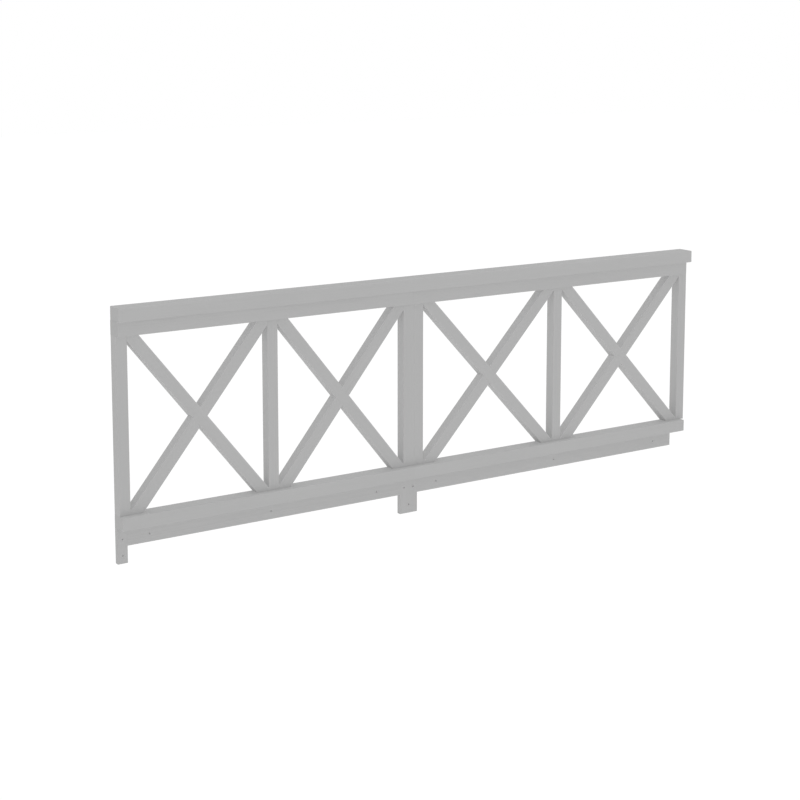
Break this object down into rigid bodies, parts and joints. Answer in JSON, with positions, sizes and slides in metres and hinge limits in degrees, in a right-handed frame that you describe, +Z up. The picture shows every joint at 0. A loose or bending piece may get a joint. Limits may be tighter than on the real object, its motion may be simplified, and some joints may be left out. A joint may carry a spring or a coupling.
{
  "type": "timber safety railing",
  "caption": "Straight timber guard railing of two cross-braced panels under one cap rail, hung on boards that screw to the face of a floor edge.",
  "frame": {"origin": "on the back face of the centre fixing tab, midway across the tab, 100 mm below the underside of the bottom rail", "axes": "+X along the railing to the right as seen from the front, +Y into the wall or floor edge that it is screwed to, +Z up; the front faces -Y"},
  "size_m": [3.345, 0.095, 1.185],
  "materials": {
    "cap_timber": "painted satin, light grey",
    "frame_timber": "painted satin, light grey",
    "board_timber": "painted matt, light grey"
  },
  "bodies": {
    "root": {"cap_rail": "cap_timber", "top_rail_left": "frame_timber", "top_rail_right": "frame_timber", "bottom_rail_left": "frame_timber", "bottom_rail_right": "frame_timber", "end_stile_left": "frame_timber", "middle_stile_left": "frame_timber", "centre_stile_left": "frame_timber", "centre_stile_right": "frame_timber", "middle_stile_right": "frame_timber", "end_stile_right": "frame_timber", "bay_1_brace_falling": "frame_timber", "bay_1_brace_rising": "frame_timber", "bay_2_brace_falling": "frame_timber", "bay_2_brace_rising": "frame_timber", "bay_3_brace_falling": "frame_timber", "bay_3_brace_rising": "frame_timber", "bay_4_brace_falling": "frame_timber", "bay_4_brace_rising": "frame_timber", "fixing_strip_left": "board_timber", "fixing_strip_right": "board_timber", "fixing_tab_left": "board_timber", "fixing_tab_centre": "board_timber"}
  },
  "joints": []
}
